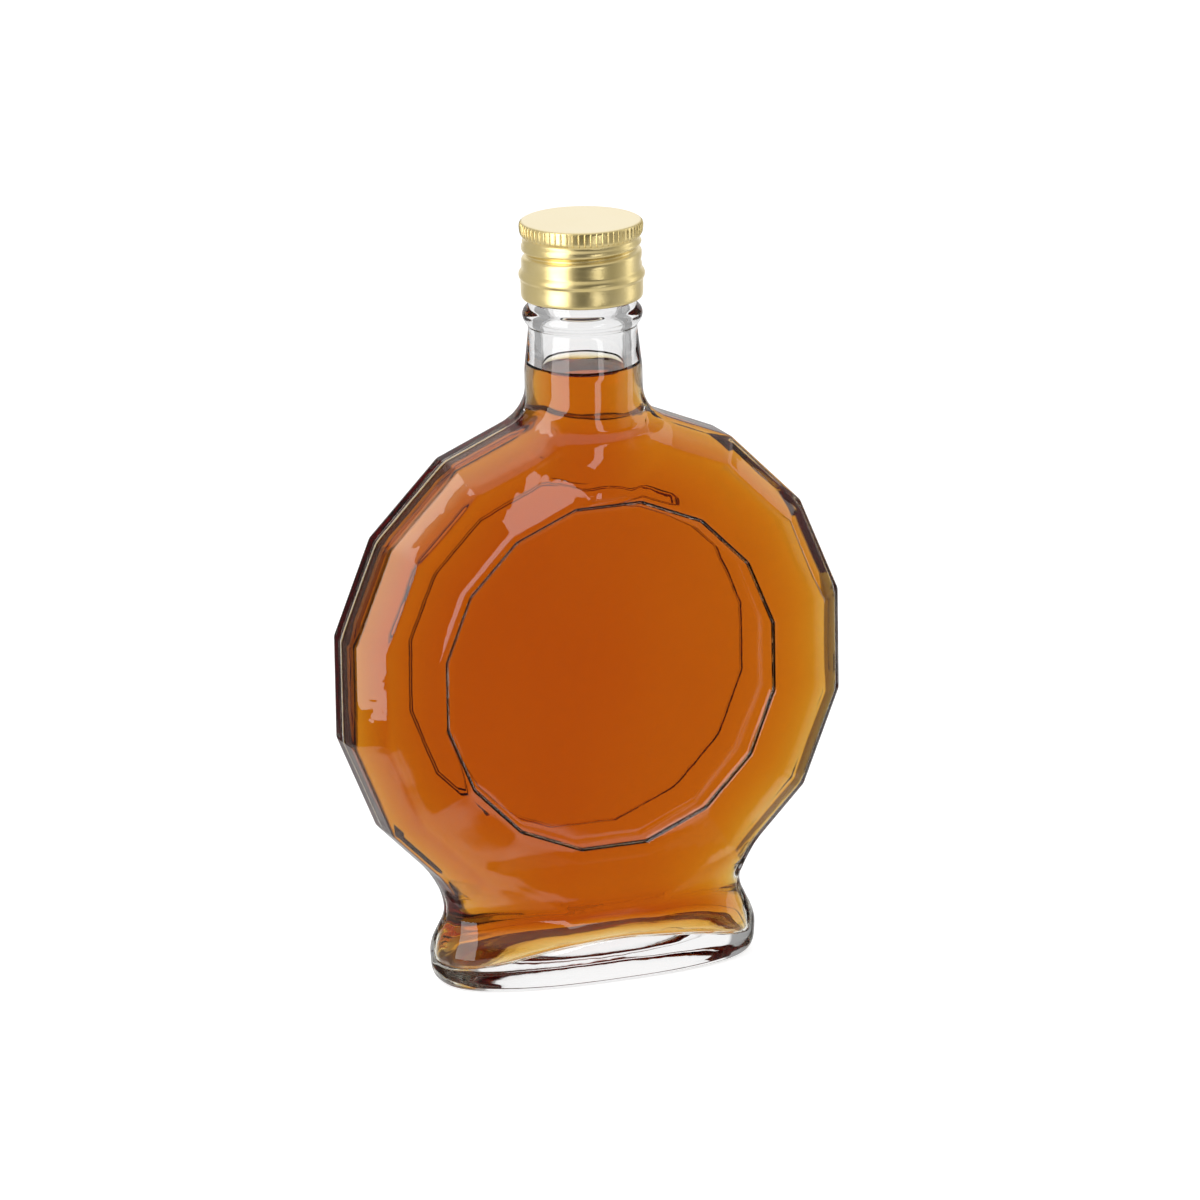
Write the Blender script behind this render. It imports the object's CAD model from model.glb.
"""Closed flat bottle of amber drink: faceted glass, the drink inside it and a rolled-on gold cap.

The bottle stands on the origin with its wide front face towards -Y. Sizes are in millimetres,
and each mesh is scaled to metres when it is made.
"""

import logging
import math
from collections.abc import Callable, Sequence
from dataclasses import dataclass, field
from enum import Enum

import bmesh
import bpy
import numpy as np
from mathutils import Matrix, Quaternion, Vector

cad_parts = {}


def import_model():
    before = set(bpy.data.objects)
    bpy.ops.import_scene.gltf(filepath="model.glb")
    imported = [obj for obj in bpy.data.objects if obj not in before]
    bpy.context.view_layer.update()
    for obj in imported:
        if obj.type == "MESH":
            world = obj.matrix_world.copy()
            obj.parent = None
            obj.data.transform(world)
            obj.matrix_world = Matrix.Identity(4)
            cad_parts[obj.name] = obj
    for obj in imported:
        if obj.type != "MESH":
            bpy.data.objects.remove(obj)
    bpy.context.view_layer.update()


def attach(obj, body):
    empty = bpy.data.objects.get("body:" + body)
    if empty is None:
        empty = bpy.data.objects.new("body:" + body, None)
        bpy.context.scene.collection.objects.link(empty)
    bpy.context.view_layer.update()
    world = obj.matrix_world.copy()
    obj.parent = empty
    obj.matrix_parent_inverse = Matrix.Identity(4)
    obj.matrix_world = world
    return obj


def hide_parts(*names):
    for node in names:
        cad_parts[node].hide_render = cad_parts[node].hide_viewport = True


LOG = logging.getLogger("bottle")
MM = 0.001
IMAGE_SIZE = 1200
SENSOR = 36

# Sizes that several forms share, and the places of rows near edges and corners
AXIS_Z = 72.1
SIDES = 16
BORE_RADIUS = 9.7
MOUTH_BORE_RADIUS = 9.4
NECK_RADIUS = 13.45
EDGE_STEPS = np.array([0.0, 0.1, 0.22, 0.45, 0.8, 1.3])
CORNER_STEPS = np.radians([0.0, 0.28, 0.6, 1.1])

Array = np.ndarray
Ends = tuple[float, float]
Colour = tuple[float, float, float, float]
Shape = Callable[[Array], Array]


class Join(Enum):
    """Ways of combining two closed skins."""

    UNION = "UNION"
    DIFFERENCE = "DIFFERENCE"


# Shape fields: negative inside and zero on the surface, in millimetres


def soft_min(first: Array, second: Array, reach: Array | float) -> Array:
    """Lower of two fields, rounded where they differ by less than the reach.

    Args:
        first: One field's values.
        second: The other field's values.
        reach: Difference below which the two are blended, one value or one for each point.

    Returns:
        The blended values.
    """
    reach = np.maximum(reach, 1e-6)
    near = np.clip(1 - np.abs(first - second) / reach, 0, None)
    return np.minimum(first, second) - near**2 * reach / 4


def soft_max(first: Array, second: Array, reach: Array | float) -> Array:
    """Higher of two fields, rounded where they differ by less than the reach.

    Args:
        first: One field's values.
        second: The other field's values.
        reach: Difference below which the two are blended.

    Returns:
        The blended values.
    """
    return -soft_min(-first, -second, reach)


def ease(value: Array, low: float, high: float) -> Array:
    """Smooth step from 0 at low to 1 at high.

    Args:
        value: Values to ease.
        low: Value where the step starts.
        high: Value where it ends.

    Returns:
        Numbers between 0 and 1.
    """
    part = np.clip((value - low) / (high - low), 0, 1)
    return part * part * (3 - 2 * part)


def gradient(shape: Shape, points: Array, step: float = 0.01) -> Array:
    """Slope of a field, by central differences.

    Args:
        shape: The field.
        points: Points, one a row.
        step: Distance between the samples.

    Returns:
        One slope vector a row.
    """
    slope = np.empty_like(points)
    for axis in range(3):
        shift = np.zeros(3)
        shift[axis] = step
        slope[:, axis] = (shape(points + shift) - shape(points - shift)) / (2 * step)
    return slope


def settle(points: Array, shape: Shape, rounds: int = 7) -> Array:
    """Moves points along a field's slope until they lie on its surface.

    Args:
        points: Points, one a row.
        shape: The field.
        rounds: Number of Newton steps.

    Returns:
        The moved points.
    """
    for _ in range(rounds):
        slope = gradient(shape, points)
        pace = shape(points) / np.maximum((slope**2).sum(axis=1), 0.05)
        points = points - slope * pace[:, None]
    return points


def smooth_table(stations: Sequence[Sequence[float]], count: int = 400) -> tuple[Array, Array]:
    """Dense table of a smooth curve through stations.

    Args:
        stations: Rows of a height and one or more sizes, lowest first.
        count: Number of rows in the table.

    Returns:
        The heights, and the sizes at each.
    """
    knots = np.array(stations, dtype=float)
    heights, sizes = knots[:, 0], knots[:, 1:]
    slopes = np.gradient(sizes, heights, axis=0)
    at = np.linspace(heights[0], heights[-1], count)
    i = np.clip(np.searchsorted(heights, at, side="right") - 1, 0, len(heights) - 2)
    span = (heights[i + 1] - heights[i])[:, None]
    t = ((at - heights[i]) / span[:, 0])[:, None]
    values = (
        (2 * t**3 - 3 * t**2 + 1) * sizes[i]
        + (t**3 - 2 * t**2 + t) * span * slopes[i]
        + (3 * t**2 - 2 * t**3) * sizes[i + 1]
        + (t**3 - t**2) * span * slopes[i + 1]
    )
    return at, values


def beyond_line(
    across: Array, half: Array, outer: tuple[Array | float, ...], inner: tuple[Array | float, ...]
) -> Array:
    """Distance beyond a sloping line in the plane of reach from the axis and half thickness.

    Args:
        across: Reach of each point from the disc's axis.
        half: Distance of each point from the disc's middle plane.
        outer: Reach and half thickness at the line's outer end.
        inner: Reach and half thickness at its inner end.

    Returns:
        Distances, positive on the outside.
    """
    rise, run = inner[1] - outer[1], outer[0] - inner[0]
    length = np.hypot(rise, run)
    return ((across - outer[0]) * rise + (half - outer[1]) * run) / length


def reach_of_flats(points: Array, rounding: float) -> tuple[Array, Array]:
    """Reach of points from the disc's axis, measured square to the nearest flat of the ring.

    Args:
        points: Points, one a row.
        rounding: Rounding of the corners between the flats, as a share of the radius.

    Returns:
        The reach, and how far each lies from its flat's middle: 0 there and 1 at a corner.
    """
    x, z = points[:, 0], points[:, 2] - AXIS_Z
    radius = np.hypot(x, z)
    pitch = 2 * np.pi / SIDES
    swing = np.abs((np.arctan2(x, z) + pitch / 2) % pitch - pitch / 2)
    near, other = radius * np.cos(swing), radius * np.cos(pitch - swing)
    return soft_max(near, other, rounding * radius), swing / (pitch / 2)


def rings_about_axis(profile: Array, turns: Array, rounding: float) -> Array:
    """Many-sided rings of points about the disc's axis.

    Args:
        profile: Rows of the flats' reach and the place along Y.
        turns: Angles of the points, clockwise from the top.
        rounding: Rounding of the corners, as a share of the radius.

    Returns:
        Points by ring and place in the ring.
    """
    unit = np.stack([np.sin(turns), 0 * turns, np.cos(turns) + AXIS_Z], axis=1)
    stretch = 1 / reach_of_flats(unit, rounding)[0]
    rings = np.empty((len(profile), len(turns), 3))
    rings[:, :, 0] = profile[:, :1] * (stretch * np.sin(turns))
    rings[:, :, 1] = profile[:, 1:]
    rings[:, :, 2] = AXIS_Z + profile[:, :1] * (stretch * np.cos(turns))
    return rings


@dataclass(frozen=True)
class Blend:
    """Rounding between forms, or depth of waves, that grows or fades over some heights."""

    reach: float
    low: float
    high: float
    fades: bool = False

    def at(self, z: Array) -> Array:
        """The amount at heights z."""
        grown = ease(z, self.low, self.high)
        return self.reach * (1 - grown if self.fades else grown)


@dataclass(frozen=True)
class FacetedDisc:
    """Many-sided disc about a level axis along Y, with a flat at the top.

    A profile point is the reach of the flats from the axis and the half thickness there. The
    recess and the ridge have one rounding at the front and a softer one at the back.
    """

    rim: tuple[float, float] = (60.0, 6.5)
    crease: tuple[float, float] = (54.0, 11.9)
    ridge: tuple[float, float] = (40.8, 14.5)
    recess: tuple[float, float] = (39.5, 13.5)
    rim_round: float = 1.1
    crease_round: float = 0.35
    corner_round: float = 0.19
    recess_round: tuple[float, float] = (0.8, 1.7)
    ridge_round: tuple[float, float] = (1.3, 2.7)
    scallop: float = 0.22

    def __call__(self, points: Array) -> Array:
        """Values of the disc's field at points, one a row."""
        reach, swing = reach_of_flats(points, self.corner_round / self.rim[0])
        half = np.abs(points[:, 1])
        slope = (self.ridge[1] - self.crease[1]) / (self.crease[0] - self.ridge[0])
        bow = self.scallop * (1 - swing**2)
        bowed = (self.crease[0] - bow, self.crease[1] + bow * slope)
        shell = soft_max(
            reach - self.rim[0], beyond_line(reach, half, self.rim, bowed), self.rim_round
        )
        inner_ring = beyond_line(reach, half, self.crease, self.ridge)
        shell = soft_max(shell, inner_ring, self.crease_round)
        fall, run = self.ridge[1] - self.recess[1], self.ridge[0] - self.recess[0]
        length = math.hypot(fall, run)
        wall = ((reach - self.recess[0]) * fall - (half - self.recess[1]) * run) / length
        back = ease(points[:, 1], -2, 2)
        recess_round = np.interp(back, (0, 1), self.recess_round)
        panel = soft_min(half - self.recess[1], -wall, recess_round)
        return soft_max(shell, panel, np.interp(back, (0, 1), self.ridge_round))

    def front_rows(self) -> list[tuple[float, float]]:
        """Rows of the profile from the middle of the front to the rim, closely set at edges."""
        rows = [(6.0, self.recess[1]), (12.0, self.recess[1])]
        spread = np.arange(13.5, self.recess[0] - 2.1, 5)
        rows += [(float(reach), self.recess[1]) for reach in spread]
        rows += [(self.recess[0] - step, self.recess[1]) for step in EDGE_STEPS[::-1]]
        stops = [self.recess, self.ridge, self.crease, self.rim]
        for (r0, h0), (r1, h1) in zip(stops, stops[1:]):
            length = math.hypot(r1 - r0, h1 - h0)
            end = length - EDGE_STEPS[::-1]
            middle = np.arange(EDGE_STEPS[-1] + 1.5, end[0] - 0.8, 1.7)
            along = np.concatenate([EDGE_STEPS[1:], middle, end])
            rows += [(r0 + (r1 - r0) * s / length, h0 + (h1 - h0) * s / length) for s in along]
        edge = self.rim[1] - EDGE_STEPS[1:]
        band = np.concatenate([edge, np.linspace(edge[-1] - 1.3, 0, 4)])
        return rows + [(self.rim[0], float(half)) for half in band]

    def rings(self) -> Array:
        """Rings of points round the disc, from its front to its back."""
        front = self.front_rows()
        profile = np.array([(r, -h) for r, h in front] + [(r, h) for r, h in front[-2::-1]])
        pitch = 2 * np.pi / SIDES
        facet = np.radians(np.linspace(3.0, 19.5, 8))
        sector = np.concatenate([CORNER_STEPS, facet, pitch - CORNER_STEPS[:0:-1]])
        turns = (np.arange(SIDES)[:, None] * pitch + sector + pitch / 2).ravel()
        return rings_about_axis(profile, turns, self.corner_round / self.rim[0])


@dataclass(frozen=True)
class HollowDisc:
    """Rounded many-sided hollow inside the faceted disc, a little thinner towards +X."""

    corner_round: float = 0.5
    bend_round: float = 0.7
    lean: float = 0.0035
    lean_start: float = -10.0
    segments: int = 224
    profile: tuple[tuple[float, float], ...] = (
        (58.0, 3.2), (56.0, 5.9), (52.2, 8.6), (46.0, 10.2), (37.0, 11.5), (0.0, 11.9),
    )

    def __call__(self, points: Array) -> Array:
        """Values of the hollow's field at points, one a row."""
        reach, _ = reach_of_flats(points, self.corner_round / self.profile[0][0])
        beyond = np.maximum(points[:, 0] - self.lean_start, 0)
        half = np.abs(points[:, 1]) * (1 + self.lean * beyond)
        value = reach - self.profile[0][0]
        for outer, inner in zip(self.profile, self.profile[1:]):
            value = soft_max(value, beyond_line(reach, half, outer, inner), self.bend_round)
        return value

    def rings(self) -> Array:
        """Rings of points round the hollow, from its front to its back."""
        stops = np.array(self.profile[::-1])
        steps = np.concatenate([[0], np.cumsum(np.hypot(*np.diff(stops, axis=0).T))])
        along = np.concatenate([np.arange(4, 36, 4.0), np.arange(37, steps[-1], 1.2)])
        front = np.stack([np.interp(along, steps, stops[:, k]) for k in (0, 1)], axis=1)
        middle = np.array([(self.profile[0][0], half) for half in (1.3, 0.0)])
        front = np.concatenate([front, middle])
        profile = np.concatenate([front * (1, -1), front[-2::-1]])
        turns = (np.arange(self.segments) + 0.5) * 2 * np.pi / self.segments
        return rings_about_axis(profile, turns, self.corner_round / self.profile[0][0])


@dataclass(frozen=True)
class RoundStem:
    """Upright round form: rows of height and radius, lowest first."""

    profile: tuple[tuple[float, float], ...]
    segments: int = 96

    def __call__(self, points: Array) -> Array:
        """Values of the stem's field at points, one a row."""
        heights, radii = np.array(self.profile).T
        side = np.hypot(points[:, 0], points[:, 1]) - np.interp(points[:, 2], heights, radii)
        return np.maximum(side, heights[0] - points[:, 2])

    def rings(self) -> Array:
        """Rings of points up the stem, by ring and place in the ring."""
        turns = (np.arange(self.segments) + 0.5) * 2 * np.pi / self.segments
        rings = np.empty((len(self.profile), self.segments, 3))
        for row, (height, radius) in enumerate(self.profile):
            rings[row] = np.stack(
                [radius * np.sin(turns), -radius * np.cos(turns), height + 0 * turns], axis=1
            )
        return rings


@dataclass(frozen=True)
class OvalStem:
    """Upright oval form through rows of height, half width and half depth, lowest first."""

    stations: tuple[tuple[float, float, float], ...]
    heights: tuple[float, ...]
    exponent: float = 2.5
    segments: int = 176

    def sizes(self, z: Array) -> tuple[Array, Array]:
        """Half width and half depth at heights z."""
        at, values = smooth_table(self.stations)
        return np.interp(z, at, values[:, 0]), np.interp(z, at, values[:, 1])

    def __call__(self, points: Array) -> Array:
        """Values of the stem's field at points, one a row."""
        n = self.exponent
        width, depth = self.sizes(points[:, 2])
        u = np.abs(points[:, 0]) / width + 1e-6
        v = np.abs(points[:, 1]) / depth + 1e-6
        size = (u**n + v**n) ** (1 / n)
        slope = np.hypot(u ** (n - 1) / width, v ** (n - 1) / depth) * size ** (1 - n)
        return np.maximum((size - 1) / slope, points[:, 2] - self.stations[-1][0])

    def rings(self) -> Array:
        """Rings of points up the stem, by ring and place in the ring."""
        turns = (np.arange(self.segments) + 0.5) * 2 * np.pi / self.segments
        power = 2 / self.exponent
        side = np.sign(np.sin(turns)) * np.abs(np.sin(turns)) ** power
        front = -np.sign(np.cos(turns)) * np.abs(np.cos(turns)) ** power
        widths, depths = self.sizes(np.array(self.heights))
        rings = np.empty((len(self.heights), self.segments, 3))
        rings[:, :, 0] = widths[:, None] * side
        rings[:, :, 1] = depths[:, None] * front
        rings[:, :, 2] = np.array(self.heights)[:, None]
        return rings


# Meshes


def skin(name: str, rings: Array, cap_rows: int = 1) -> bpy.types.Object:
    """Closed skin through rings of points, drawn together to a point at both ends.

    Args:
        name: Name of the new object.
        rings: Points by ring and place in the ring, in millimetres.
        cap_rows: Rows that cover each end, the last of them at its middle.

    Returns:
        The new object, its faces pointing outwards.
    """
    first, last = rings[0].mean(axis=0), rings[-1].mean(axis=0)
    if cap_rows > 1:
        shares = np.append(np.linspace(0, 1, cap_rows + 1)[1:-1], 0.985)[:, None, None]
        low = first + (rings[0] - first) * shares
        high = last + (rings[-1] - last) * shares[::-1]
        rings = np.concatenate([low, rings, high])
    rows, columns = rings.shape[:2]
    points = np.concatenate([rings.reshape(-1, 3), [first, last]])
    faces = bands(columns, [(row, row + 1) for row in range(rows - 1)])
    faces += fan(len(points) - 2, 0, columns)
    faces += fan(len(points) - 1, (rows - 1) * columns, columns)
    return closed_piece(name, points, faces)


def bands(columns: int, pairs: Sequence[tuple[int, int]]) -> list[Sequence[int]]:
    """Faces between pairs of rings.

    Args:
        columns: Number of points in a ring.
        pairs: Numbers of the rings that each band lies between.

    Returns:
        The faces, as point numbers.
    """
    here = np.arange(columns)
    after = np.roll(here, -1)
    faces: list[Sequence[int]] = []
    for low, high in pairs:
        a, b = low * columns, high * columns
        faces += np.stack([a + here, a + after, b + after, b + here], axis=1).tolist()
    return faces


def fan(middle: int, start: int, columns: int) -> list[Sequence[int]]:
    """Faces from a middle point to a ring.

    Args:
        middle: Number of the middle point.
        start: Number of the ring's first point.
        columns: Number of points in the ring.

    Returns:
        The faces, as point numbers.
    """
    return [(middle, start + i, start + (i + 1) % columns) for i in range(columns)]


def closed_piece(name: str, points: Array, faces: Sequence[Sequence[int]]) -> bpy.types.Object:
    """New object with a closed mesh, its faces turned outwards.

    Args:
        name: Name of the object and its mesh.
        points: Points in millimetres, one a row.
        faces: Faces, as point numbers.

    Returns:
        The new object.
    """
    mesh = bpy.data.meshes.new(name)
    mesh.from_pydata((points * MM).tolist(), [], faces)
    made = bpy.data.objects.new(name, mesh)
    bpy.context.scene.collection.objects.link(made)
    return face_outwards(made)


def face_outwards(piece: bpy.types.Object) -> bpy.types.Object:
    """Merges doubles of a closed piece and turns its faces outwards.

    Args:
        piece: The piece.

    Returns:
        The same piece.
    """
    work = bmesh.new()
    work.from_mesh(piece.data)
    bmesh.ops.remove_doubles(work, verts=work.verts, dist=1e-8)
    bmesh.ops.recalc_face_normals(work, faces=work.faces)
    work.to_mesh(piece.data)
    work.free()
    return piece


def applied(piece: bpy.types.Object) -> bpy.types.Object:
    """Replaces a piece's mesh by the one that its modifiers give, and drops them.

    Args:
        piece: The piece.

    Returns:
        The same piece.
    """
    bpy.context.view_layer.update()
    graph = bpy.context.evaluated_depsgraph_get()
    mesh = bpy.data.meshes.new_from_object(piece.evaluated_get(graph), depsgraph=graph)
    piece.modifiers.clear()
    old, piece.data = piece.data, mesh
    mesh.name = piece.name
    bpy.data.meshes.remove(old)
    return piece


def combine(base: bpy.types.Object, other: bpy.types.Object, join: Join) -> bpy.types.Object:
    """Joins another closed skin to a piece, or cuts it away.

    Args:
        base: The piece that stays.
        other: The other skin, which is deleted.
        join: Whether it is added or cut away.

    Returns:
        The piece.
    """
    step = base.modifiers.new("join", "BOOLEAN")
    step.operation = join.value
    step.solver = "EXACT"
    step.object = other
    applied(base)
    bpy.data.objects.remove(other)
    return base


def points_of(piece: bpy.types.Object) -> Array:
    """Vertex positions of a piece in millimetres, one a row."""
    points = np.empty(len(piece.data.vertices) * 3)
    piece.data.vertices.foreach_get("co", points)
    return points.reshape(-1, 3) / MM


def set_points(piece: bpy.types.Object, points: Array) -> None:
    """Sets a piece's vertex positions from millimetres, one a row."""
    piece.data.vertices.foreach_set("co", (points * MM).ravel())
    piece.data.update()


def shade_by(piece: bpy.types.Object, shapes: Sequence[tuple[Shape, float]]) -> None:
    """Shades a piece smooth, with normals from the fields whose surfaces its points lie on.

    Args:
        piece: The piece.
        shapes: Fields, each with 1 where the piece is inside it or -1 where it is outside.
    """
    piece.data.shade_smooth()
    points = points_of(piece)
    normals = np.empty(len(points) * 3)
    piece.data.vertices.foreach_get("normal", normals)
    normals = normals.reshape(-1, 3)
    for shape, side in shapes:
        slope = gradient(shape, points, 0.004) * side
        slope /= np.maximum(np.linalg.norm(slope, axis=1), 1e-9)[:, None]
        on_it = (np.abs(shape(points)) < 0.01) & ((slope * normals).sum(axis=1) > 0.5)
        normals[on_it] = slope[on_it]
    piece.data.normals_split_custom_set_from_vertices(normals.tolist())


# Finishes


class Nodes:
    """Short-hand for building one node tree."""

    def __init__(self, tree: bpy.types.NodeTree) -> None:
        """Takes the tree that nodes are added to."""
        self.tree = tree

    def add(self, kind: str, **values: object) -> bpy.types.Node:
        """Adds a node.

        Args:
            kind: Node type.
            **values: Attributes, or inputs by name with underscores for spaces.

        Returns:
            The node.
        """
        node = self.tree.nodes.new(kind)
        for key, value in values.items():
            if hasattr(node, key):
                setattr(node, key, value)
            else:
                node.inputs[key.replace("_", " ")].default_value = value
        return node

    def link(self, start: bpy.types.NodeSocket, end: bpy.types.NodeSocket) -> None:
        """Links one socket to another."""
        self.tree.links.new(start, end)

    def ramp(
        self, source: bpy.types.NodeSocket, ends: Ends, results: Ends, kind: str = "SMOOTHSTEP"
    ) -> bpy.types.NodeSocket:
        """Maps a value from one range to another.

        Args:
            source: Output that gives the value.
            ends: Ends of the range it comes from.
            results: Values that the two ends become.
            kind: Interpolation between them.

        Returns:
            The output of the new node.
        """
        node = self.add("ShaderNodeMapRange", interpolation_type=kind)
        for name, value in zip(("From Min", "From Max", "To Min", "To Max"), ends + results):
            node.inputs[name].default_value = value
        self.link(source, node.inputs["Value"])
        return node.outputs["Result"]

    def maths(
        self, operation: str, first: bpy.types.NodeSocket, *others: bpy.types.NodeSocket
    ) -> bpy.types.NodeSocket:
        """Combines two or more values with one operation, in turn.

        Args:
            operation: Name of the operation.
            first: Output that gives the first value.
            *others: Outputs that give the others.

        Returns:
            The output of the last node.
        """
        for other in others:
            node = self.add("ShaderNodeMath", operation=operation)
            self.link(first, node.inputs[0])
            self.link(other, node.inputs[1])
            first = node.outputs["Value"]
        return first

    def mixed(
        self, share: bpy.types.NodeSocket, low: bpy.types.NodeSocket | Colour, high: Colour
    ) -> bpy.types.NodeSocket:
        """Mixes two colours.

        Args:
            share: Output that gives the second colour's share.
            low: First colour, or the output that gives it.
            high: Second colour.

        Returns:
            The output of the new node.
        """
        node = self.add("ShaderNodeMix", data_type="RGBA")
        colours = [socket for socket in node.inputs if socket.type == "RGBA"]
        if isinstance(low, tuple):
            colours[0].default_value = low
        else:
            self.link(low, colours[0])
        colours[1].default_value = high
        self.link(share, node.inputs["Factor"])
        return next(socket for socket in node.outputs if socket.type == "RGBA")


class Finish(Nodes):
    """Nodes of one material with a Principled shader."""

    def __init__(self, name: str, **values: object) -> None:
        """Starts the material.

        Args:
            name: Name of the material.
            **values: The shader's inputs by name, with underscores for spaces.
        """
        self.material = bpy.data.materials.new(name)
        self.material.use_nodes = True
        super().__init__(self.material.node_tree)
        self.shader = self.tree.nodes["Principled BSDF"]
        self.output = self.tree.nodes["Material Output"]
        for key, value in values.items():
            self.shader.inputs[key.replace("_", " ")].default_value = value


CLEAR = {"Base_Color": (1, 1, 1, 1), "Roughness": 0.0, "Transmission_Weight": 1.0}


@dataclass(frozen=True)
class ClearGlass:
    """Clear pressed glass with the faint swell of a moulded surface."""

    name: str = "clear_glass"
    refraction: float = 1.52
    swell: float = 0.03

    def material(self) -> bpy.types.Material:
        """Builds the material.

        Returns:
            The material.
        """
        nodes = Finish(self.name, **CLEAR, IOR=self.refraction)
        place = nodes.add("ShaderNodeTexCoord")
        noise = nodes.add("ShaderNodeTexNoise", Scale=95.0, Detail=2.5, Roughness=0.45)
        bump = nodes.add("ShaderNodeBump", Strength=self.swell, Distance=0.004)
        nodes.link(place.outputs["Object"], noise.inputs["Vector"])
        nodes.link(noise.outputs["Fac"], bump.inputs["Height"])
        nodes.link(bump.outputs["Normal"], nodes.shader.inputs["Normal"])
        return nodes.material


@dataclass(frozen=True)
class AmberDrink:
    """Clear amber drink that takes up blue and green light along its depth."""

    name: str = "amber_drink"
    refraction: float = 1.36
    tint: Colour = (0.919, 0.70, 0.0, 1.0)
    density: float = 335.0

    def material(self) -> bpy.types.Material:
        """Builds the material.

        Returns:
            The material.
        """
        nodes = Finish(self.name, **CLEAR, IOR=self.refraction)
        depth = nodes.add("ShaderNodeVolumeAbsorption", Color=self.tint, Density=self.density)
        nodes.link(depth.outputs["Volume"], nodes.output.inputs["Volume"])
        return nodes.material


@dataclass(frozen=True)
class GoldLacquer:
    """Satin gold lacquer on thin rolled aluminium, finely brushed round and paler on top."""

    name: str = "gold_aluminium"
    light: Colour = (0.82, 0.67, 0.32, 1.0)
    dark: Colour = (0.74, 0.59, 0.25, 1.0)
    top: Colour = (0.95, 0.83, 0.54, 1.0)
    roughness: float = 0.3
    brush_scale: tuple[float, float, float] = (60, 60, 2600)

    def material(self) -> bpy.types.Material:
        """Builds the material.

        Returns:
            The material.
        """
        nodes = Finish(
            self.name,
            Metallic=1.0,
            Roughness=self.roughness,
            Coat_Weight=0.15,
            Coat_Roughness=0.15,
        )
        place = nodes.add("ShaderNodeTexCoord").outputs["Object"]
        stretch = nodes.add("ShaderNodeMapping", Scale=self.brush_scale)
        brush = nodes.add("ShaderNodeTexNoise", Scale=1.0, Detail=3.0, Roughness=0.6)
        cloud = nodes.add("ShaderNodeTexNoise", Scale=160.0, Detail=3.0, Roughness=0.55)
        bump = nodes.add("ShaderNodeBump", Strength=0.10, Distance=0.0004)
        parts = nodes.add("ShaderNodeSeparateXYZ")
        nodes.link(place, stretch.inputs["Vector"])
        nodes.link(place, cloud.inputs["Vector"])
        nodes.link(stretch.outputs["Vector"], brush.inputs["Vector"])
        nodes.link(nodes.add("ShaderNodeNewGeometry").outputs["Normal"], parts.inputs[0])
        spread = nodes.ramp(cloud.outputs["Fac"], (0.3, 0.62), (0, 1), "LINEAR")
        tone = nodes.mixed(spread, self.dark, self.light)
        upward = nodes.ramp(parts.outputs["Z"], (0.7, 0.98), (0, 1), "LINEAR")
        tone = nodes.mixed(upward, tone, self.top)
        duller = (self.roughness - 0.05, self.roughness + 0.09)
        rough = nodes.ramp(brush.outputs["Fac"], (0, 1), duller, "LINEAR")
        nodes.link(brush.outputs["Fac"], bump.inputs["Height"])
        nodes.link(tone, nodes.shader.inputs["Base Color"])
        nodes.link(bump.outputs["Normal"], nodes.shader.inputs["Normal"])
        nodes.link(rough, nodes.shader.inputs["Roughness"])
        return nodes.material


def dress(piece: bpy.types.Object, material: bpy.types.Material) -> None:
    """Gives a piece one material."""
    piece.data.materials.clear()
    piece.data.materials.append(material)


# Glass and drink


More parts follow.
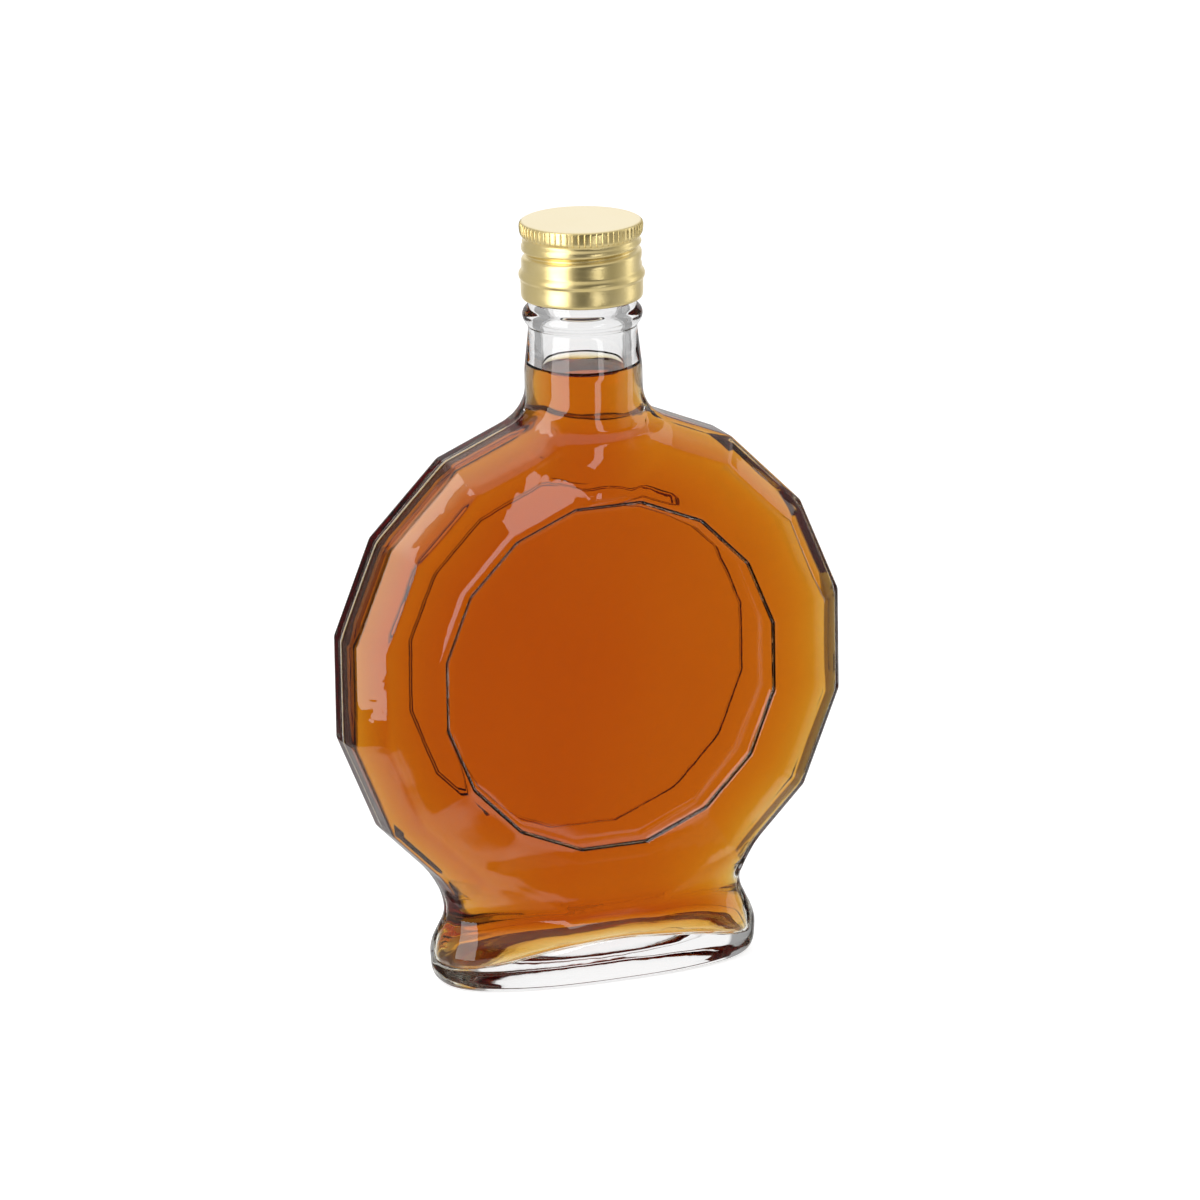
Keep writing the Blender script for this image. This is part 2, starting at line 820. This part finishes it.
@dataclass
class Hollow:
    """Space inside the bottle, from which the drink takes its shape too."""

    disc: HollowDisc = field(default_factory=HollowDisc)
    bore: RoundStem = field(
        default_factory=lambda: RoundStem(
            tuple((float(z), BORE_RADIUS) for z in np.arange(108.0, 147.0, 1.0))
            + ((147.0, 9.68), (148.5, 9.6), (150.0, 9.5), (151.5, 9.42))
            + tuple((z, MOUTH_BORE_RADIUS) for z in (153.0, 160.0, 182.0)),
        )
    )
    foot: OvalStem = field(
        default_factory=lambda: OvalStem(
            stations=(
                (1.0, 34.4, 12.6), (5.0, 34.8, 13.0), (9.5, 34.7, 13.0), (13.5, 33.6, 11.2),
                (18.0, 32.6, 9.2), (23.0, 32.0, 8.2), (31.0, 31.0, 6.0),
            ),
            heights=tuple(np.linspace(2.0, 30.0, 30)),
            segments=160,
        )
    )
    floor_middle: float = 8.3
    floor_fall: float = 3.4
    floor_round: float = 2.5
    shoulder: Blend = Blend(7.0, 104, 122)
    waist: Blend = Blend(7.0, 26, 42, fades=True)
    ripple: Blend = Blend(0.13, 118, 134, fades=True)
    settled_below: float = 165.0

    def __call__(self, points: Array) -> Array:
        """Values of the hollow's field at points, one a row."""
        z = points[:, 2]
        value = soft_min(self.disc(points), self.bore(points), self.shoulder.at(z))
        value = soft_min(value, self.foot_with_floor(points), self.waist.at(z))
        return value + self.ripple.at(z) * self.waves(points)

    def waves(self, points: Array) -> Array:
        """Crossed waves of the uneven wall, about 1 high, at points, one a row."""
        x, y, z = points.T
        wave = np.sin(0.13 * x + 0.05 * z + 0.8) * np.sin(0.11 * z - 0.06 * x + 0.1 * y)
        return wave + 0.6 * np.sin(0.24 * x - 0.17 * z + 1.9) * np.sin(0.09 * x + 0.21 * z)

    def foot_with_floor(self, points: Array) -> Array:
        """Field of the foot's hollow above its arched floor, at points, one a row."""
        floor = self.floor_middle - self.floor_fall * (points[:, 0] / 30) ** 2 - points[:, 2]
        return soft_max(self.foot(points), floor, self.floor_round)

    def build(self, name: str) -> bpy.types.Object:
        """Builds the closed skin of the hollow, which ends above the mouth.

        Args:
            name: Name of the new object.

        Returns:
            The new object.
        """
        piece = skin(name, self.disc.rings())
        piece = combine(piece, skin("bore", self.bore.rings()), Join.UNION)
        piece = combine(piece, skin("hollow_foot", self.foot.rings(), cap_rows=9), Join.UNION)
        points = points_of(piece)
        low = points[:, 2] < self.settled_below
        points[low] = settle(points[low], self)
        set_points(piece, points)
        return piece


def neck_root() -> tuple[tuple[float, float], ...]:
    """Rows of the plain part of the neck, with a short flare where it meets the disc."""
    heights = np.arange(114.0, 142.0, 0.5)
    radii = NECK_RADIUS + 1.5 * (1 - ease(heights, 127.2, 129.9))
    return tuple(zip(heights.tolist(), radii.tolist()))


@dataclass
class GlassBottle:
    """The bottle: faceted disc on an oval foot, blended shoulder, neck and mouth."""

    hollow: Hollow
    finish: ClearGlass
    disc: FacetedDisc = field(default_factory=FacetedDisc)
    neck: RoundStem = field(
        default_factory=lambda: RoundStem(
            neck_root()
            + (
                (142.0, 13.42), (142.8, 13.34), (144.0, 13.2), (146.0, 12.98), (148.0, 12.76),
                (149.5, 12.6), (150.6, 12.48), (151.3, 12.45), (151.8, 12.5), (152.2, 12.66),
                (152.5, 12.9), (152.9, 13.2), (153.4, 13.47), (154.0, 13.65), (154.5, 13.7),
                (155.0, 13.64), (155.5, 13.45), (155.9, 13.15), (156.2, 12.85), (156.5, 12.62),
                (156.9, 12.45), (157.5, 12.1), (158.5, 11.95), (173.9, 11.9), (174.6, 11.6),
                (174.9, 11.0),
            )
        )
    )
    foot: OvalStem = field(
        default_factory=lambda: OvalStem(
            stations=(
                (0.0, 36.6, 15.35), (0.3, 37.3, 15.8), (0.7, 37.8, 16.06), (1.5, 38.4, 16.3),
                (3.0, 38.9, 16.62), (4.8, 39.06, 16.88), (7.5, 39.1, 17.03), (10.0, 38.5, 16.4),
                (12.5, 37.4, 14.9), (15.0, 36.3, 13.3), (18.0, 35.5, 12.0), (21.0, 35.0, 11.4),
                (25.0, 34.4, 10.8), (30.0, 33.0, 9.5),
            ),
            heights=(0.0, 0.25, 0.6, 1.1, 1.7, 2.4, 3.2) + tuple(np.arange(4.0, 30.0, 0.75)),
        )
    )
    shoulder: Blend = Blend(5.5, 113, 124)
    waist: Blend = Blend(7.0, 24, 34, fades=True)
    blended_heights: Ends = (3.0, 142.0)

    def __call__(self, points: Array) -> Array:
        """Values of the outside's field at points, one a row."""
        z = points[:, 2]
        value = soft_min(self.disc(points), self.neck(points), self.shoulder.at(z))
        return soft_min(value, self.foot(points), self.waist.at(z))

    def outside(self) -> bpy.types.Object:
        """Builds the closed outer skin, with its shoulder and waist blended.

        Returns:
            The new object.
        """
        piece = skin("bottle_glass_skin", self.disc.rings())
        set_points(piece, settle(points_of(piece), self.disc))
        piece = combine(piece, skin("neck", self.neck.rings()), Join.UNION)
        piece = combine(piece, skin("foot", self.foot.rings(), cap_rows=6), Join.UNION)
        points = points_of(piece)
        plain = np.minimum(np.minimum(self.disc(points), self.neck(points)), self.foot(points))
        low, high = self.blended_heights
        blended = (plain - self(points) > 1e-5) & (points[:, 2] < high) & (points[:, 2] > low)
        points[blended] = settle(points[blended], self)
        set_points(piece, points)
        return piece

    def build(self) -> bpy.types.Object:
        """Builds and dresses the bottle.

        Returns:
            The new piece.
        """
        piece = combine(self.outside(), self.hollow.build("hollow"), Join.DIFFERENCE)
        piece.name = "bottle_glass_skin"
        shade_by(piece, [(self, 1.0), (self.hollow, -1.0)])
        dress(piece, self.finish.material())
        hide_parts("bottle_glass")
        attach(piece, "root")
        return piece


@dataclass
class Drink:
    """The drink: it fills the hollow to its level and climbs the glass in a short rim.

    The dish holds the rings of that rim: share of the bore's radius, and height over the level.
    """

    hollow: Hollow
    finish: AmberDrink
    level: float = 141.5
    climb: float = 1.3
    overlap: float = 0.12
    widened_below: float = 160.0
    dish: tuple[tuple[float, float], ...] = (
        (0.985, 0.95), (0.965, 0.68), (0.94, 0.45), (0.91, 0.27), (0.87, 0.14), (0.81, 0.05),
        (0.74, 0.015), (0.6, 0.0), (0.35, 0.0),
    )

    def build(self) -> bpy.types.Object:
        """Builds and dresses the drink.

        Returns:
            The new piece.
        """
        piece = self.hollow.build("drink_body")
        points = points_of(piece)
        slope = gradient(self.hollow, points)
        slope /= np.linalg.norm(slope, axis=1)[:, None]
        low = points[:, 2] < self.widened_below
        points[low] += slope[low] * self.overlap
        set_points(piece, points)
        self.cut_level(piece)
        shade_by(piece, [(lambda at: self.hollow(at) - self.overlap, 1.0)])
        dress(piece, self.finish.material())
        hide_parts("drink")
        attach(piece, "root")
        return piece

    def cut_level(self, piece: bpy.types.Object) -> None:
        """Cuts the skin at the level and closes it with a dished surface.

        Args:
            piece: The drink's skin.
        """
        top = (self.level + self.climb) * MM
        work = bmesh.new()
        work.from_mesh(piece.data)
        everything = [*work.verts, *work.edges, *work.faces]
        bmesh.ops.bisect_plane(
            work,
            geom=everything,
            plane_co=(0, 0, top),
            plane_no=(0, 0, 1),
            clear_outer=True,
        )
        edge = [e for e in work.edges if e.is_boundary]
        for share, height in self.dish:
            made = bmesh.ops.extrude_edge_only(work, edges=edge)["geom"]
            ring = {v for v in made if isinstance(v, bmesh.types.BMVert)}
            radius = max(v.co.xy.length for v in ring)
            goal = (BORE_RADIUS + self.overlap) * MM * share
            for vert in ring:
                vert.co.xy *= goal / radius
                vert.co.z = (self.level + height) * MM
            edge = [e for e in made if isinstance(e, bmesh.types.BMEdge)]
            edge = [e for e in edge if e.is_boundary]
        bmesh.ops.contextual_create(work, geom=edge)
        bmesh.ops.recalc_face_normals(work, faces=work.faces)
        work.to_mesh(piece.data)
        work.free()
        piece.data.shade_smooth()


# Cap


@dataclass
class RolledCap:
    """Screw cap rolled on the neck: knurled top, thread, flare, and a torn-off band below.

    The outline's rows below and above the thread are radii and heights, from the bottom up. The
    knurl's rows are the height, reach and half width of a rib.
    """

    finish: GoldLacquer
    top: float = 176.2
    wall: float = 0.24
    core: float = 13.35
    thread_radius: float = 13.72
    thread_depth: float = 1.0
    thread_width: float = 0.66
    thread_pitch: float = 3.1
    thread_start: float = -400.0
    thread_end: float = 178.0
    thread_zero: float = 170.24
    thread_heights: Ends = (164.9, 171.4)
    segments: int = 288
    ribs: int = 62
    slits: int = 8
    slit_height: float = 162.35
    slit_half: float = 0.34
    band_radius: float = 13.9
    lower: tuple[tuple[float, float], ...] = (
        (13.35, 158.3), (13.5, 158.33), (13.66, 158.44), (13.78, 158.65), (13.86, 159.0),
        (13.9, 159.4), (13.92, 159.9), (13.92, 160.9), (13.93, 161.6), (13.96, 162.0),
        (13.98, 162.3), (13.99, 162.6), (14.06, 162.85), (14.2, 163.05), (14.33, 163.3),
        (14.38, 163.6), (14.38, 163.9), (14.3, 164.2), (14.12, 164.55), (13.9, 164.85),
    )
    upper: tuple[tuple[float, float], ...] = (
        (13.66, 171.35), (13.5, 171.6), (13.32, 171.85), (13.22, 172.1), (13.22, 172.35),
        (13.32, 172.6), (13.5, 172.85), (13.64, 173.1), (13.72, 173.4), (13.76, 173.8),
        (13.78, 174.4), (13.8, 175.0), (13.8, 175.45), (13.77, 175.7), (13.68, 175.92),
        (13.52, 176.08), (13.3, 176.17), (13.0, 176.2), (12.0, 176.2), (11.0, 176.19),
        (9.0, 176.17), (6.5, 176.15), (3.5, 176.14), (1.2, 176.14),
    )
    knurl: tuple[tuple[float, float, float], ...] = (
        (172.75, 13.5, 0.12), (173.1, 13.82, 0.22), (173.6, 14.02, 0.3), (174.3, 14.12, 0.33),
        (175.0, 14.15, 0.33), (175.5, 14.1, 0.31), (175.85, 13.9, 0.25), (176.05, 13.6, 0.16),
    )

    def threaded(self) -> list[tuple[float, float]]:
        """Rows of radius and height over the thread, before it is rolled in."""
        return [(self.thread_radius, float(z)) for z in np.arange(165.3, 171.2, 0.14)]

    def groove(self, turn: Array, height: float) -> Array:
        """Depth of the rolled thread round one height of the cap.

        Args:
            turn: Angles in degrees, counter-clockwise from +X seen from above.
            height: The height.

        Returns:
            One depth for each angle.
        """
        depth = np.zeros_like(turn)
        for lap in (-2, -1, 0, 1):
            along = turn + 360 * lap
            fade = np.clip(
                np.minimum((along - self.thread_start) / 70, (self.thread_end - along) / 35), 0, 1
            )
            away = height - self.thread_zero - self.thread_pitch * along / 360
            valley = np.exp(-((away / self.thread_width) ** 2))
            depth = np.maximum(depth, fade * self.thread_depth * valley)
        return depth

    def shell(self) -> bpy.types.Object:
        """Builds the thin threaded shell, closed over its outer and inner faces.

        Returns:
            The new object.
        """
        thread = self.threaded()
        outside = [*self.lower, (13.76, 165.1), *thread, *self.upper]
        inside = [*self.lower, *thread[::3], *(row for row in self.upper if row[1] < 175.1)]
        lid = self.top - self.wall
        outer = [self.rolled(radius, height) for radius, height in outside]
        inner = [self.rolled(radius, lid) for radius in (2.0, 8.0, 12.6)]
        inner.append(self.rolled(13.2, lid - 0.3))
        inner += [self.rolled(radius - self.wall, height) for radius, height in inside[::-1]]
        return self.closed_shell(np.array(outer), np.array(inner))

    def rolled(self, radius: float, height: float) -> Array:
        """One ring of the shell, with the thread rolled in where it runs.

        Args:
            radius: Radius outside the thread.
            height: Height of the ring.

        Returns:
            Points, one a row.
        """
        turns = (np.arange(self.segments) + 0.5) * 2 * np.pi / self.segments
        low, high = self.thread_heights
        depth = self.groove(np.degrees(turns), height) if low < height < high else 0 * turns
        reach = radius - depth
        return np.stack([reach * np.cos(turns), reach * np.sin(turns), height + 0 * turns], axis=1)

    @staticmethod
    def closed_shell(outer: Array, inner: Array) -> bpy.types.Object:
        """Joins the outer rings, bottom to top, and the inner ones, top to bottom.

        Args:
            outer: Outer rings of points.
            inner: Inner rings of points.

        Returns:
            The new object.
        """
        rows, columns = len(outer) + len(inner), outer.shape[1]
        middles = [outer[-1].mean(axis=0), inner[0].mean(axis=0)]
        points = np.concatenate([outer.reshape(-1, 3), inner.reshape(-1, 3), middles])
        pairs = [(row, row + 1) for row in range(rows - 1) if row != len(outer) - 1]
        faces = bands(columns, [*pairs, (rows - 1, 0)])
        faces += fan(len(points) - 2, (len(outer) - 1) * columns, columns)
        faces += fan(len(points) - 1, len(outer) * columns, columns)
        return closed_piece("cap_shell", points, faces)

    def rib(self) -> bpy.types.Object:
        """Builds one knurling rib at +X: a rounded bar that dies into the cap at both ends.

        Returns:
            The new object.
        """
        arc = np.radians(np.array([-90, -50, 0, 50, 90]))
        root = self.core - 0.25
        rings = []
        for height, reach, half in self.knurl:
            x = self.core + (reach - self.core) * np.cos(arc)
            face = [*zip(x, half * np.sin(arc)), (root, half * 0.8), (root, -half * 0.8)]
            rings.append([(a, b, height) for a, b in face])
        return skin("rib", np.array(rings))

    def cutter(self) -> bpy.types.Object:
        """Builds the cutter of one slit, round the band from +X.

        Returns:
            The new object.
        """
        half = math.pi / self.slits - 0.5 / self.band_radius
        rings = []
        for turn in np.linspace(-half, half, 21):
            tall = self.slit_half * min(1.0, 0.35 + 8 * (1 - abs(turn / half)))
            corners = ((13.0, -tall), (15.0, -tall), (15.0, tall), (13.0, tall))
            rings.append(
                [(r * math.cos(turn), r * math.sin(turn), self.slit_height + h) for r, h in corners]
            )
        return skin("slit_cutter", np.array(rings))

    def build(self) -> list[bpy.types.Object]:
        """Builds and dresses the cap's shell and its knurling.

        Returns:
            The new pieces.
        """
        material = self.finish.material()
        shell = self.shell()
        cutter = self.cutter()
        first = math.radians(6.5 - 90 + 180 / self.slits)
        ring_of_copies(shell, cutter, self.slits, first, material, cut=True)
        rib = self.rib()
        knurl = bpy.data.objects.new("cap_knurl", bpy.data.meshes.new("cap_knurl"))
        bpy.context.scene.collection.objects.link(knurl)
        ring_of_copies(knurl, rib, self.ribs, 0.03, material, cut=False)
        for spare in (cutter, rib):
            bpy.data.objects.remove(spare)
        for piece in (shell, knurl):
            dress(piece, material)
            piece.data.shade_smooth()
            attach(piece, "root")
        shell.data.set_sharp_from_angle(angle=math.radians(50))
        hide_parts("screw_cap")
        return [shell, knurl]


def ring_of_copies(
    piece: bpy.types.Object,
    copied: bpy.types.Object,
    count: int,
    first: float,
    material: bpy.types.Material,
    cut: bool,
) -> None:
    """Sets copies of an object in a ring about Z with Geometry Nodes, and applies the result.

    Args:
        piece: The piece that gets the copies.
        copied: The object that is repeated.
        count: Number of copies.
        first: Angle of the first copy.
        material: Material of the result.
        cut: True to cut the copies out of the piece, False to make the piece of them.
    """
    tree = bpy.data.node_groups.new("ring_of_copies", "GeometryNodeTree")
    face = tree.interface
    face.new_socket("Geometry", in_out="INPUT", socket_type="NodeSocketGeometry")
    inputs = {
        "Copied": ("NodeSocketObject", copied),
        "Count": ("NodeSocketInt", count),
        "First angle": ("NodeSocketFloat", first),
        "Material": ("NodeSocketMaterial", material),
    }
    sockets = {
        name: face.new_socket(name, in_out="INPUT", socket_type=kind)
        for name, (kind, _) in inputs.items()
    }
    face.new_socket("Geometry", in_out="OUTPUT", socket_type="NodeSocketGeometry")
    nodes = Nodes(tree)
    entry = nodes.add("NodeGroupInput").outputs
    line = nodes.add("GeometryNodeMeshLine", Offset=(0, 0, 0))
    info = nodes.add("GeometryNodeObjectInfo")
    place = nodes.add("GeometryNodeInstanceOnPoints")
    number = nodes.add("GeometryNodeInputIndex")
    turn = nodes.add("ShaderNodeMath", operation="MULTIPLY_ADD")
    turn.inputs[1].default_value = 2 * math.pi
    angles = nodes.add("ShaderNodeCombineXYZ")
    real = nodes.add("GeometryNodeRealizeInstances")
    paint = nodes.add("GeometryNodeSetMaterial")
    nodes.link(entry["Count"], line.inputs["Count"])
    nodes.link(entry["Copied"], info.inputs["Object"])
    nodes.link(line.outputs["Mesh"], place.inputs["Points"])
    nodes.link(info.outputs["Geometry"], place.inputs["Instance"])
    share = nodes.maths("DIVIDE", number.outputs["Index"], entry["Count"])
    nodes.link(share, turn.inputs[0])
    nodes.link(entry["First angle"], turn.inputs[2])
    nodes.link(turn.outputs["Value"], angles.inputs["Z"])
    nodes.link(angles.outputs["Vector"], place.inputs["Rotation"])
    nodes.link(place.outputs["Instances"], real.inputs["Geometry"])
    made = real.outputs["Geometry"]
    if cut:
        boolean = nodes.add("GeometryNodeMeshBoolean", operation="DIFFERENCE")
        again = nodes.add("GeometryNodeRealizeInstances")
        nodes.link(entry["Geometry"], boolean.inputs["Mesh 1"])
        nodes.link(made, boolean.inputs["Mesh 2"])
        nodes.link(boolean.outputs["Mesh"], again.inputs["Geometry"])
        made = again.outputs["Geometry"]
    nodes.link(made, paint.inputs["Geometry"])
    nodes.link(entry["Material"], paint.inputs["Material"])
    nodes.link(paint.outputs["Geometry"], nodes.add("NodeGroupOutput").inputs["Geometry"])
    step = piece.modifiers.new("copies", "NODES")
    step.node_group = tree
    for name, (_, value) in inputs.items():
        step[sockets[name].identifier] = value
    applied(piece)
    bpy.data.node_groups.remove(tree)


# Studio


@dataclass(frozen=True)
class SoftLight:
    """Rectangular soft light that stands beside the bottle and faces its axis."""

    name: str
    place: tuple[float, float, float]
    size: tuple[float, float]
    radiance: float
    tilt: float = 0.0

    def build(self) -> None:
        """Adds the light."""
        data = bpy.data.lights.new(self.name, "AREA")
        data.shape = "RECTANGLE"
        data.size, data.size_y = self.size
        data.energy = self.radiance * math.pi * self.size[0] * self.size[1]
        lamp = bpy.data.objects.new(self.name, data)
        bpy.context.scene.collection.objects.link(lamp)
        lamp.location = self.place
        back = Vector((self.place[0], self.place[1], 0)).normalized()
        lean = Quaternion((0, 0, 1), -math.radians(self.tilt))
        lamp.rotation_mode = "QUATERNION"
        lamp.rotation_quaternion = back.to_track_quat("Z", "Y") @ lean
        lamp.visible_camera = False
        lamp.visible_transmission = False


def towards(azimuth: float, elevation: float) -> Vector:
    """Unit vector from the bottle towards a direction; azimuth 0 is the front, 90 is +X."""
    a, e = math.radians(azimuth), math.radians(elevation)
    return Vector((math.sin(a) * math.cos(e), -math.cos(a) * math.cos(e), math.sin(e)))


@dataclass
class Studio:
    """Pale floor, soft lights, pale surroundings and the camera."""

    azimuth: float = -22.167
    elevation: float = 15.408
    roll: float = -0.97
    distance: float = 2.4078
    scale: float = 4.374
    aim: tuple[float, float] = (587.044, 586.211)
    aim_z: float = 0.090
    backdrop_edge: float = 31.0
    backdrop_blur: float = 0.05
    side_edge: float = 100.0
    side_light: float = 0.38
    front_light: float = 0.07
    through_light: float = 0.55
    fill_sides: float = 0.6
    fill_front: float = 0.09
    floor_half: float = 3.0
    floor_drop: float = 0.0002
    lights: tuple[SoftLight, ...] = (
        SoftLight("left_softbox", (-0.278, -0.112, 0.25), (0.20, 0.5), 3.6),
        SoftLight("front_strip", (0.045, -0.30, 0.10), (0.05, 0.17), 3.0, tilt=35),
        SoftLight("right_softbox", (0.345, -0.061, 0.19), (0.10, 0.36), 1.2),
    )

    def camera(self) -> None:
        """Adds the camera."""
        back = towards(self.azimuth, self.elevation)
        turn = math.radians(self.azimuth)
        right = Vector((math.cos(turn), math.sin(turn), 0))
        up = back.cross(right)
        roll = math.radians(self.roll)
        side = right * math.cos(roll) + up * math.sin(roll)
        head = up * math.cos(roll) - right * math.sin(roll)
        place = Matrix((side, head, back)).transposed().to_4x4()
        place.translation = Vector((0, 0, self.aim_z)) + back * self.distance
        data = bpy.data.cameras.new("camera")
        data.sensor_width = SENSOR
        data.lens = SENSOR * self.scale * self.distance / MM / IMAGE_SIZE
        data.shift_x = 0.5 - self.aim[0] / IMAGE_SIZE
        data.shift_y = self.aim[1] / IMAGE_SIZE - 0.5
        data.clip_end = 20
        made = bpy.data.objects.new("camera", data)
        made.matrix_world = place
        bpy.context.scene.collection.objects.link(made)
        bpy.context.scene.camera = made

    def floor(self) -> None:
        """Adds the pale floor just below the foot."""
        half, level = self.floor_half, -self.floor_drop
        corners = [(-half, -half), (half, -half), (half, half), (-half, half)]
        mesh = bpy.data.meshes.new("floor")
        mesh.from_pydata([(x, y, level) for x, y in corners], [], [(0, 1, 2, 3)])
        made = bpy.data.objects.new("floor", mesh)
        bpy.context.scene.collection.objects.link(made)
        finish = Finish(
            "pale_floor",
            Base_Color=(0.6, 0.6, 0.6, 1),
            Roughness=0.9,
            Emission_Color=(1, 1, 1, 1),
            Emission_Strength=0.72,
        )
        dress(made, finish.material)
        made.visible_glossy = False
        made.visible_transmission = False

    def surroundings(self) -> None:
        """Lights the scene from a white backdrop of limited width, dim at the sides and in front.

        Mirrored rays see the sides dimmer, so that the glass stays clear. Rays through the whole
        bottle, and rough reflections in the cap, get some light from the front too.
        """
        world = bpy.data.worlds.new("surroundings")
        world.use_nodes = True
        bpy.context.scene.world = world
        nodes = Nodes(world.node_tree)
        place = nodes.add("ShaderNodeTexCoord")
        turn = nodes.add("ShaderNodeVectorRotate", rotation_type="Z_AXIS")
        turn.inputs["Angle"].default_value = -math.radians(self.azimuth)
        parts = nodes.add("ShaderNodeSeparateXYZ")
        away = nodes.add("ShaderNodeMath", operation="ABSOLUTE")
        nodes.link(place.outputs["Generated"], turn.inputs["Vector"])
        nodes.link(turn.outputs["Vector"], parts.inputs[0])
        x, y, z = parts.outputs
        nodes.link(nodes.maths("ARCTAN2", x, y), away.inputs[0])
        angle = away.outputs["Value"]
        ramp, maths = nodes.ramp, nodes.maths
        edge, blur = math.radians(self.backdrop_edge), self.backdrop_blur
        side = math.radians(self.side_edge)
        rays = nodes.add("ShaderNodeLightPath").outputs
        sharp = maths("MULTIPLY", rays["Is Reflection Ray"], rays["Is Singular Ray"])
        rough = ramp(rays["Is Singular Ray"], (0, 1), (1, 0))
        deep = ramp(rays["Transmission Depth"], (4, 5), (0, 1))
        white = ramp(angle, (edge - blur, edge + blur), (1, 0))
        backdrop = maths("MULTIPLY", white, ramp(sharp, (0, 1), (1, 0.5)))
        sides = ramp(angle, (side - 0.3, side + 0.1), (self.side_light, self.front_light))
        below = ramp(z, (-0.62, -0.5), (0.85, 0))
        above = ramp(z, (0.45, 0.75), (0, 0.8))
        around = maths("MAXIMUM", sides, below)
        dimmed = maths("MULTIPLY", around, ramp(sharp, (0, 1), (1, 0.2)))
        through = maths("MULTIPLY", ramp(angle, (1.9, 2.4), (0, self.through_light)), deep)
        fill = maths("MULTIPLY", ramp(angle, (1.5, 2.7), (self.fill_sides, self.fill_front)), rough)
        seen = rays["Is Camera Ray"]
        strength = maths("MAXIMUM", backdrop, dimmed, through, above, fill, seen)
        shade = nodes.tree.nodes["Background"]
        shade.inputs["Color"].default_value = (1, 1, 1, 1)
        nodes.link(strength, shade.inputs["Strength"])

    def build(self) -> None:
        """Adds everything that isn't part of the object."""
        self.camera()
        self.floor()
        self.surroundings()
        for light in self.lights:
            light.build()
        paths = bpy.context.scene.cycles
        paths.max_bounces = paths.transmission_bounces = 24
        paths.glossy_bounces = 16
        bpy.context.scene.view_settings.view_transform = "Standard"
        bpy.context.scene.view_settings.look = "None"


def main() -> None:
    """Builds the scene in order."""
    logging.basicConfig(level=logging.INFO, format="%(name)s: %(message)s")
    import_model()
    hollow = Hollow()
    pieces = [GlassBottle(hollow, ClearGlass()).build(), Drink(hollow, AmberDrink()).build()]
    pieces += RolledCap(GoldLacquer()).build()
    for piece in pieces:
        LOG.info("%s: %d faces", piece.name, len(piece.data.polygons))
    Studio().build()


if __name__ == "__main__":
    main()
